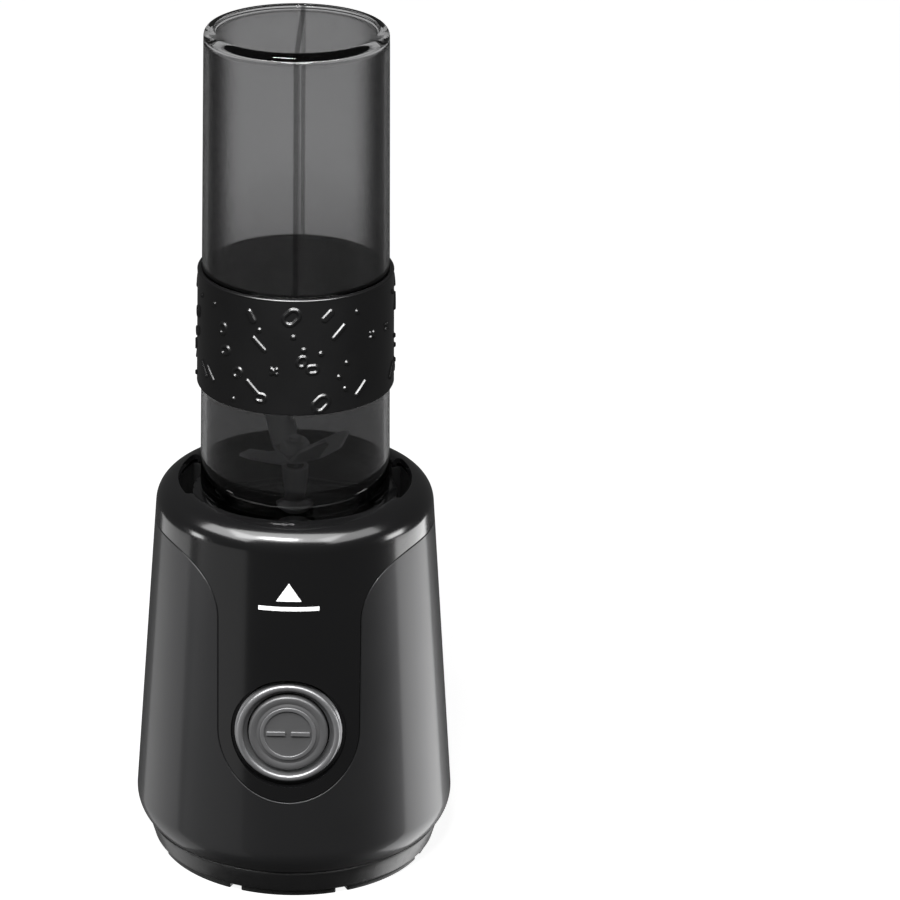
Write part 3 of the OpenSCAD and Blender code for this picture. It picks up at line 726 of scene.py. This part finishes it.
def sleeve_relief(angle, z):
    """Height of the raised marks at points of the sleeve."""
    low, high = sleeve_low.z, sleeve_high.z
    radius = bottle_r((low + high) / 2) + SLEEVE_T
    nearest = np.full(angle.shape, 1.0)
    for third in range(3):
        for kind, degrees, share, tilt in SLEEVE_MARKS:
            centre = math.radians(degrees * (1 if third == 0 else -1) + 120 * third)
            around = (angle - centre + math.pi) % (2 * math.pi) - math.pi
            du, dz = around * radius, z - (low + (high - low) * share)
            t = math.radians(tilt)
            u, v = du * math.cos(t) + dz * math.sin(t), dz * math.cos(t) - du * math.sin(t)
            nearest = np.minimum(nearest, mark_distance(kind, u, v))
    t = np.clip((0.18 * MM - nearest) / (0.34 * MM), 0, 1)
    return 0.7 * MM * t * t * (3 - 2 * t)


def make_sleeve():
    low, high = sleeve_low.z, sleeve_high.z
    across = 820
    rows = [(0.02 * MM, low + 0.5 * MM, 0), (0.3 * MM, low + 0.05 * MM, 0), (1.1 * MM, low, 0),
            (1.5 * MM, low + 0.2 * MM, 0), (SLEEVE_T, low + 0.6 * MM, 0)]
    count = 160
    marked = high - low - 1.6 * MM
    rows += [(SLEEVE_T, low + 0.6 * MM + marked * (i + 0.5) / count, 1) for i in range(count)]
    lip = SLEEVE_T / 2
    rows += [(lip + lip * 1.1 * math.cos(a), high - 0.9 * MM + 0.9 * MM * math.sin(a), 0)
             for a in np.radians(np.linspace(0, 180, 12))]
    angle = np.linspace(0, 2 * math.pi, across, endpoint=False)
    verts = []
    for out, z, raised in rows:
        r = bottle_r(z) + out + (sleeve_relief(angle, np.full(across, z)) if raised else 0)
        r = np.broadcast_to(r, (across,))
        verts.append(np.stack([r * np.sin(angle), -r * np.cos(angle), np.full(across, z)], 1))
    verts = np.concatenate(verts)
    n = len(rows)
    faces = [(k * across + i, k * across + (i + 1) % across, (k + 1) % n * across + (i + 1) % across,
              (k + 1) % n * across + i) for k in range(n) for i in range(across)]
    obj = new_object("sleeve", verts, faces, "bottle_unit", "sleeve_rubber", ("bottle_sleeve",))
    fix_normals(obj)


make_bottle()
make_sleeve()


# ---------------------------------------------------------------- frame pieces with rounded edges
def soften(node, width):
    """A piece in the place and shape of a CAD node, its sharp edges rounded by a width in millimetres."""
    entry = next(e for e in frame["record"]["subparts"] if e["node"] == node)
    body = next(name for name, held in frame["record"]["behaviour"]["bodies"].items() if node in held)
    source = nodes[node]
    bm = bmesh.new()
    bm.from_mesh(source.data)
    bmesh.ops.transform(bm, matrix=source.matrix_world, verts=bm.verts)
    bmesh.ops.remove_doubles(bm, verts=bm.verts, dist=2e-6)
    bmesh.ops.dissolve_limit(bm, angle_limit=math.radians(0.6), verts=bm.verts, edges=bm.edges)
    mesh = bpy.data.meshes.new(node + "_soft")
    bm.to_mesh(mesh)
    bm.free()
    obj = bpy.data.objects.new(node + "_soft", mesh)
    bpy.context.scene.collection.objects.link(obj)
    slot = entry["material_slot"]
    finish_piece(obj, body, slot, (node,))
    if width:
        bevel(obj, width * MM, 2, 30)
    return obj


def make_spring(node):
    """A spring in the place and shape of its CAD node, with a mesh of its own."""
    spring = soften(node, 0)
    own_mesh(spring)


SOFT_NODES = {"bottom_cover": 0.35, "rubber_feet": 0.5, "well_cup": 0.3, "blade_holder": 0.3,
              "spindle_post": 0.2, "blade_nut": 0.3, "lower_blades": 0.12, "upper_blades": 0.12,
              "cord_gland": 0.5}
for node, width in SOFT_NODES.items():
    soften(node, width)
make_spring("button_spring")
make_spring("interlock_spring")


# ---------------------------------------------------------------- stage, light and camera
ROOM_LIGHT = 0.065
FLOOR_HALF = 6.0
CAMERA_YAW = math.radians(2.3)
CAMERA_PITCH = math.radians(22.934)
CAMERA_ROLL = math.radians(0.2)
CAMERA_DISTANCE = 1.424
CAMERA_HEIGHT = 0.7747

# Soft lights: name, azimuth from the front in degrees (positive to the right), distance, height of the
# middle, width, height, radiance, height aimed at, and the group of pieces lit
LIGHTS = (
    ("right", 112, 1.0, -0.62, 1.0, 0.9, 2.6, 0.02, "base_only"),
    ("right_strip", 86, 1.0, 0.1, 0.3, 0.25, 2, 0.15, "base_only"),
    ("right_spot", 88, 1.0, 0.05, 0.3, 0.22, 4.5, 0.15, "base_only"),
    ("right_fill", 55, 1.0, 0.95, 1.0, 0.6, 2.6, 0.15, "base_only"),
    ("left", -112, 1.0, -0.62, 1.0, 0.9, 0.75, 0.02, "base_only"),
    ("left_front", -58, 1.2, -0.55, 1.1, 0.9, 0.25, 0.02, "base_only"),
    ("left_spot", -80, 1.0, 0.05, 0.2, 0.2, 6, 0.15, "base_only"),
    ("left_fill", -60, 1.0, 0.95, 1.0, 0.6, 4.0, 0.15, "base_only"),
    ("top_front", -14, 1.0, 1.35, 0.65, 0.2, 32, 0.15, None),
    ("bottle_rim", 5, 1.0, 0.17, 2.4, 0.05, 10, 0.17, "bottle_only"),
    ("overhead", -8, 0.75, 1.35, 2.0, 0.9, 4.5, 0.15, "base_only"),
    ("sleeve_front", 0, 1.0, 1.2, 2.4, 0.8, 14, 0.15, "sleeve_only"))


def light_group(name, pieces):
    """Pieces that some of the lights shine on alone."""
    group = bpy.data.collections.new(name)
    for piece in pieces:
        group.objects.link(piece)


def softbox(name, azimuth, distance, middle_z, width, height, radiance, target_z, group):
    turn = math.radians(azimuth)
    data = bpy.data.lights.new(name, "AREA")
    data.shape = "RECTANGLE"
    data.size = width
    data.size_y = height
    data.energy = radiance * 4 * width * height
    obj = bpy.data.objects.new(name, data)
    bpy.context.scene.collection.objects.link(obj)
    obj.location = (distance * math.sin(turn), -distance * math.cos(turn), middle_z)
    obj.rotation_euler = (Vector((0, 0, target_z)) - obj.location).to_track_quat("-Z", "Y").to_euler()
    obj.visible_camera = False
    obj.visible_transmission = False
    if group:
        obj.light_linking.receiver_collection = bpy.data.collections[group]


def make_stage():
    """A pale floor that casts no light back, and a room that is white to look at and dim in the gloss."""
    floor_mat = material("floor_white", (0.5, 0.5, 0.5), 0.8, tone_var=0.01, bump=0.02,
                         Emission_Color=(1, 1, 1, 1), Emission_Strength=0.92)
    mesh = bpy.data.meshes.new("floor")
    corners = [(x * FLOOR_HALF, y * FLOOR_HALF, 0) for x, y in ((-1, -1), (1, -1), (1, 1), (-1, 1))]
    mesh.from_pydata(corners, [], [(0, 1, 2, 3)])
    floor = bpy.data.objects.new("floor", mesh)
    bpy.context.scene.collection.objects.link(floor)
    floor.data.materials.append(floor_mat)
    floor.visible_glossy = False
    floor.visible_diffuse = False
    floor.visible_shadow = False
    world = bpy.data.worlds.new("studio")
    bpy.context.scene.world = world
    world.use_nodes = True
    tree = world.node_tree
    backdrop = tree.nodes["Background"]
    backdrop.inputs["Color"].default_value = (1, 1, 1, 1)
    path = tree.nodes.new("ShaderNodeLightPath")
    seen = math_node(tree, "MAXIMUM", path.outputs["Is Camera Ray"], path.outputs["Is Transmission Ray"])
    tree.links.new(ramp(tree, seen, 0, 1, ROOM_LIGHT, 1), backdrop.inputs["Strength"])
    bpy.context.scene.view_settings.view_transform = "Standard"


def make_camera():
    data = bpy.data.cameras.new("camera")
    data.sensor_width = 36
    data.lens = 154.2
    data.shift_x = 0.172
    cam = bpy.data.objects.new("camera", data)
    bpy.context.scene.collection.objects.link(cam)
    turn = Matrix.Rotation(CAMERA_YAW, 4, "Z") @ Matrix.Rotation(math.pi / 2 - CAMERA_PITCH, 4, "X")
    turn = turn @ Matrix.Rotation(CAMERA_ROLL, 4, "Z")
    aside, back = CAMERA_DISTANCE * math.sin(CAMERA_YAW), CAMERA_DISTANCE * math.cos(CAMERA_YAW)
    cam.matrix_world = Matrix.Translation((aside, -back, CAMERA_HEIGHT)) @ turn
    bpy.context.scene.camera = cam


visual_pieces = [obj for obj in bpy.context.scene.objects if obj.type == "MESH"]
light_group("base_only", [obj for obj in visual_pieces if obj.name not in ("bottle_shell", "sleeve")])
light_group("sleeve_only", [bpy.data.objects["sleeve"]])
light_group("bottle_only", [bpy.data.objects["bottle_shell"]])
make_stage()
make_camera()
for light in LIGHTS:
    softbox(*light)
